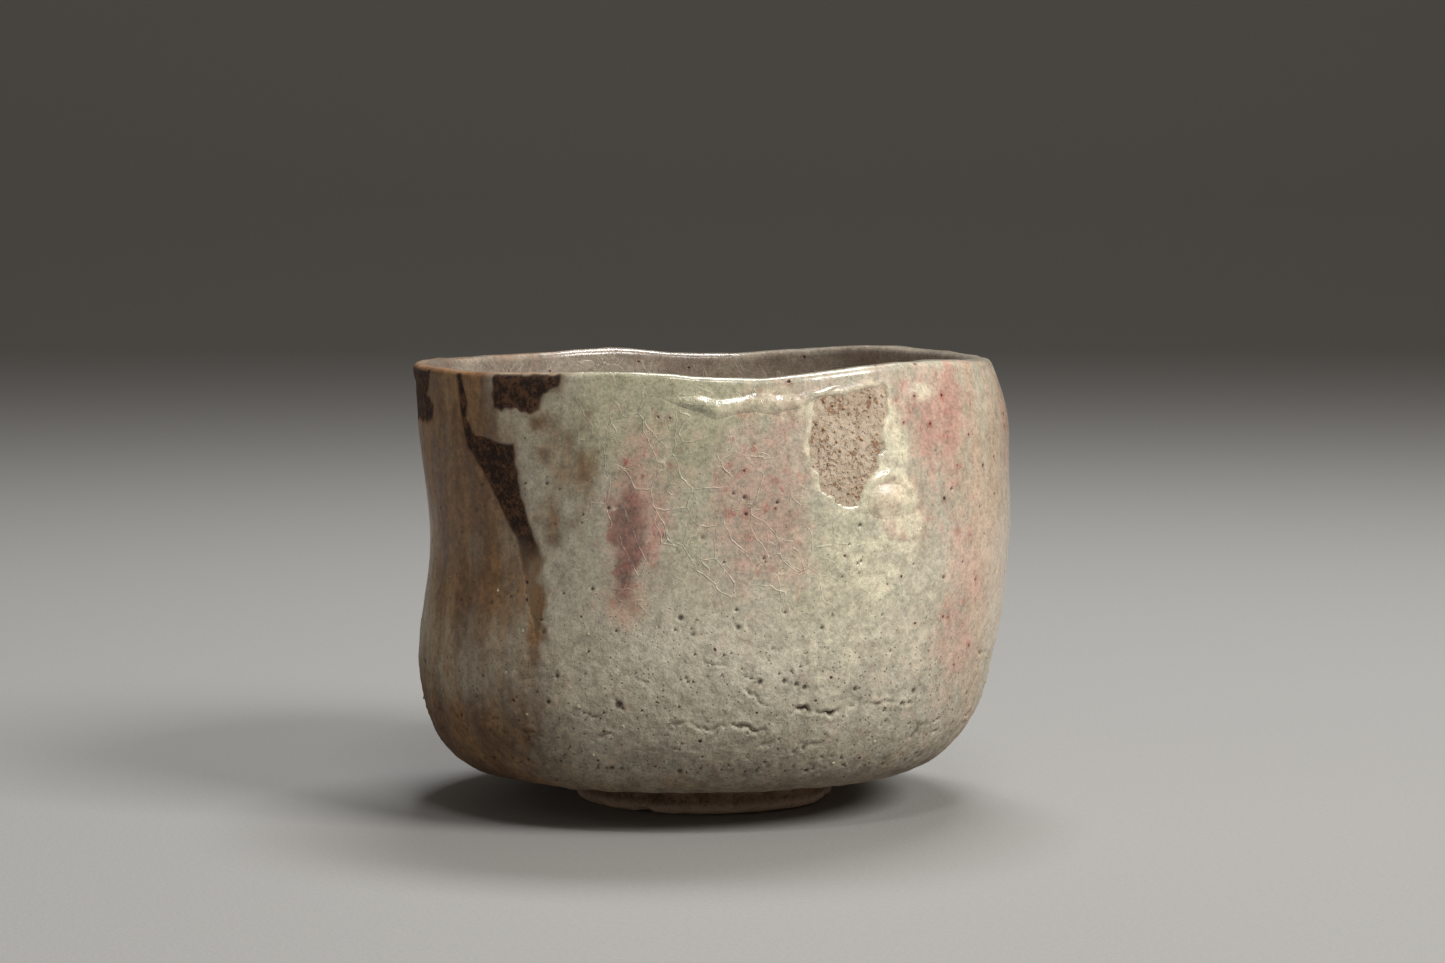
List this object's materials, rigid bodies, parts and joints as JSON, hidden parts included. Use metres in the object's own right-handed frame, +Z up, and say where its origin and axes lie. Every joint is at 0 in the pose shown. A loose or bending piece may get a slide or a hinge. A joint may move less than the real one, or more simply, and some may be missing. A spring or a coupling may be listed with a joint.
{
  "type": "tea bowl",
  "caption": "Hand-formed matcha bowl: thick stoneware wall on a carved foot ring, wavy lip, glassy feldspar coat with iron streak and a bare clay window",
  "frame": {"origin": "centre of the foot ring's base circle, on the surface the bowl stands on", "axes": "+Z up out of the mouth, +X to the right and -Y towards the viewer with the iron streak on the front left"},
  "size_m": [0.1144, 0.1123, 0.0855],
  "materials": {
    "clay_biscuit": "coarse brown stoneware clay, unglazed, matte",
    "foot_clay": "bare carved stoneware, reddish brown, matte and gritty",
    "glaze_front": "glossy grey-cream feldspar glaze with pink blushes and fine crackle",
    "glaze_left": "thin brownish feldspar glaze, semi-gloss, streaked",
    "glaze_back": "glossy cream and peach feldspar glaze with fine crackle",
    "glaze_inner": "glossy grey-cream glaze inside the bowl",
    "glaze_rim": "glossy pale bead along the lip, orange where it runs thin",
    "glaze_pool": "thick glassy green-grey pool in the bottom",
    "glaze_bead": "glossy cream run of thick glaze",
    "glaze_blush": "glossy orange-pink blister of glaze",
    "iron_wash": "matte dark brown iron showing where the glaze drew back",
    "bare_window": "bare sandy clay, matte, with brown grains",
    "feldspar": "off-white feldspar grains, matte"
  },
  "bodies": {
    "root": {"clay_body": "clay_biscuit", "foot_ring": "foot_clay", "outer_glaze_front": "glaze_front", "outer_glaze_left": "glaze_left", "outer_glaze_back": "glaze_back", "inner_glaze": "glaze_inner", "rim_glaze": "glaze_rim", "tea_pool_glaze": "glaze_pool", "glaze_roll": "glaze_bead", "glaze_blister": "glaze_blush", "iron_streak": "iron_wash", "iron_lip_patch": "iron_wash", "iron_side_patch": "iron_wash", "bare_clay_window": "bare_window", "feldspar_grains": "feldspar"}
  },
  "joints": []
}
